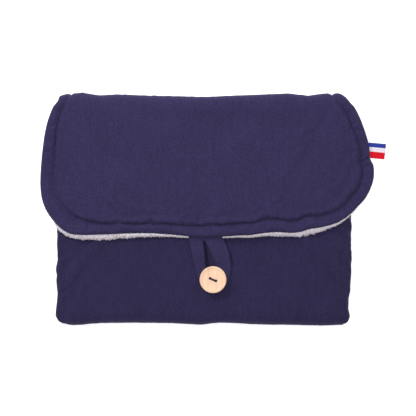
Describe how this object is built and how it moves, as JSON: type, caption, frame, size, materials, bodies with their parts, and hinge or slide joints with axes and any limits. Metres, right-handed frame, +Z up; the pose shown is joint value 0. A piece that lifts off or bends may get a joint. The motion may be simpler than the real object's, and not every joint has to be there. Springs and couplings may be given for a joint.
{
  "type": "fold-over brush case",
  "caption": "Padded fold-over cloth case with a terry-lined front pocket, a wide rounded flap, a loop and wooden button, and a striped ribbon tab.",
  "frame": {"origin": "centre of the underside of the closed case, on the surface that it lies on", "axes": "+X across the case towards the ribbon tab, +Y from the bottom fold towards the spine, +Z up out of the table, with the case closed and lying on its back"},
  "size_m": [0.3253, 0.2156, 0.0303],
  "materials": {
    "navy_gauze": "matte crinkled cotton double gauze",
    "grey_terry": "looped cotton towelling",
    "white_wadding": "soft needled fibre",
    "navy_thread": "twisted sewing thread",
    "light_wood": "smooth turned maple, satin",
    "striped_ribbon": "woven grosgrain with blue, white and red stripes"
  },
  "bodies": {
    "pouch": {"back_outer_gauze": "navy_gauze", "back_wadding": "white_wadding", "back_terry_lining": "grey_terry", "bottom_fold_gauze": "navy_gauze", "bottom_fold_wadding": "white_wadding", "bottom_fold_terry": "grey_terry", "pocket_outer_gauze": "navy_gauze", "pocket_wadding": "white_wadding", "pocket_terry_lining": "grey_terry", "side_seam_left": "navy_gauze", "side_seam_right": "navy_gauze"},
    "spine": {"spine_outer_gauze": "navy_gauze", "spine_wadding": "white_wadding", "spine_terry_lining": "grey_terry"},
    "flap": {"flap_outer_gauze": "navy_gauze", "flap_wadding": "white_wadding", "flap_terry_lining": "grey_terry", "flap_topstitch": "navy_thread"},
    "loop": {"closure_loop": "navy_gauze"},
    "button": {"button": "light_wood", "button_thread": "navy_thread"},
    "tab": {"ribbon_tab": "striped_ribbon"}
  },
  "joints": [
    {"name": "spine_fold", "type": "hinge", "parent": "pouch", "child": "spine", "pos_m": [0, 0.1078, 0], "axis": [-1, 0, 0], "range_deg": [0, 90]},
    {"name": "flap_fold", "type": "hinge", "parent": "spine", "child": "flap", "pos_m": [0, 0.1078, 0.0293], "axis": [-1, 0, 0], "range_deg": [0, 90]},
    {"name": "loop_lift", "type": "hinge", "parent": "flap", "child": "loop", "pos_m": [0, -0.0276, 0.02455], "axis": [-1, 0, 0], "range_deg": [0, 90]},
    {"name": "button_turn", "type": "hinge", "parent": "pouch", "child": "button", "pos_m": [0.008, -0.0671, 0.0249], "axis": [0, 0, 1], "range_deg": [-45, 45]},
    {"name": "tab_bend", "type": "hinge", "parent": "flap", "child": "tab", "pos_m": [0.15507, 0.05414, 0.02475], "axis": [0.2349, -0.972, 0], "range_deg": [-60, 60], "stiffness_Nm_per_rad": 0.001}
  ],
  "couplings": [
    {"joint": "flap_fold", "follows": "spine_fold", "ratio": 1}
  ]
}
